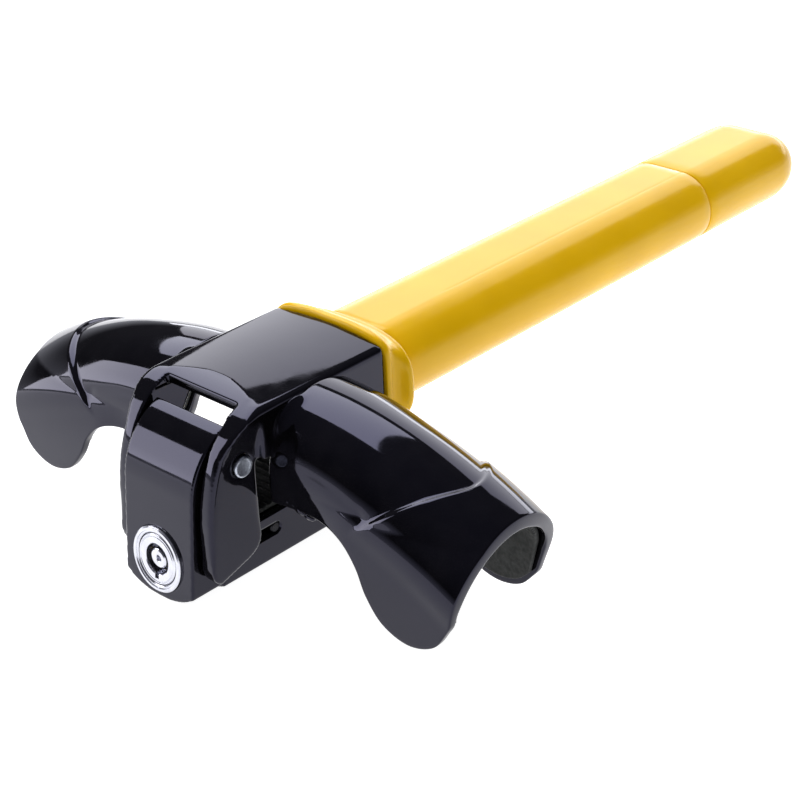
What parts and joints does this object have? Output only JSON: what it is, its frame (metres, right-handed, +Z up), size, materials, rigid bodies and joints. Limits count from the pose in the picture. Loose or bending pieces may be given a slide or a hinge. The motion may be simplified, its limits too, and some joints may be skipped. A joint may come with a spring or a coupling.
{
  "type": "steering wheel lock",
  "caption": "T-shaped steering wheel lock: two saddle wings over the rim, a hinged jaw with a push lock under it, and a long yellow handle.",
  "frame": {"origin": "centre of the bounding box in X and Y, at its lowest level, which is the underside of the lock block and jaw arm", "axes": "+X to the right wing seen from the lock face, +Y along the handle away from the lock face, +Z up; X = 0 is the plane of symmetry"},
  "size_m": [0.209, 0.3464, 0.0686],
  "materials": {
    "black_gloss": "gloss black enamel on steel",
    "yellow_gloss": "glossy yellow moulded plastic",
    "chrome": "polished chrome plate",
    "steel": "bright hardened steel",
    "brass": "turned brass",
    "rubber": "matte black rubber",
    "nylon": "black nylon"
  },
  "bodies": {
    "head": {"head_casting": "black_gloss", "saddle_wing_left": "black_gloss", "saddle_wing_right": "black_gloss", "saddle_pad_left": "rubber", "saddle_pad_right": "rubber", "crown_pad": "rubber", "strike_plate": "steel", "hinge_pin": "steel", "handle_collar": "yellow_gloss", "handle_core": "steel", "grip_sleeve": "yellow_gloss", "grip_end_cap": "yellow_gloss"},
    "jaw": {"jaw_block": "black_gloss", "jaw_arm": "black_gloss", "jaw_pad": "rubber", "hinge_washer_left": "nylon", "hinge_washer_right": "nylon", "arm_dowel_left": "steel", "arm_dowel_right": "steel", "lock_bezel": "chrome", "barrel_spring": "steel"},
    "barrel": {"lock_barrel": "chrome", "lock_bolt": "steel", "guide_pin": "steel"},
    "plug": {"lock_plug": "chrome", "plug_cam": "brass", "tumbler_1": "brass", "tumbler_2": "brass", "tumbler_3": "brass", "tumbler_4": "brass", "tumbler_5": "brass", "tumbler_6": "brass", "tumbler_7": "brass"},
    "locking_pin": {"locking_pin": "brass"}
  },
  "joints": [
    {"name": "jaw_swing", "type": "hinge", "parent": "head", "child": "jaw", "pos_m": [0, -0.15235, 0.0472], "axis": [-1, 0, 0], "range_deg": [0, 70]},
    {"name": "barrel_slide", "type": "slide", "parent": "jaw", "child": "barrel", "axis": [0, -1, 0], "range_m": [0, 0.009]},
    {"name": "plug_turn", "type": "hinge", "parent": "barrel", "child": "plug", "pos_m": [0, -0.15235, 0.0137], "axis": [0, 1, 0], "range_deg": [0, 90]},
    {"name": "locking_pin_draw", "type": "slide", "parent": "barrel", "child": "locking_pin", "axis": [0, 0, -1], "range_m": [0, 0.0022]}
  ],
  "couplings": [
    {"joint": "locking_pin_draw", "follows": "plug_turn", "m_per_rad": 0.0014}
  ]
}
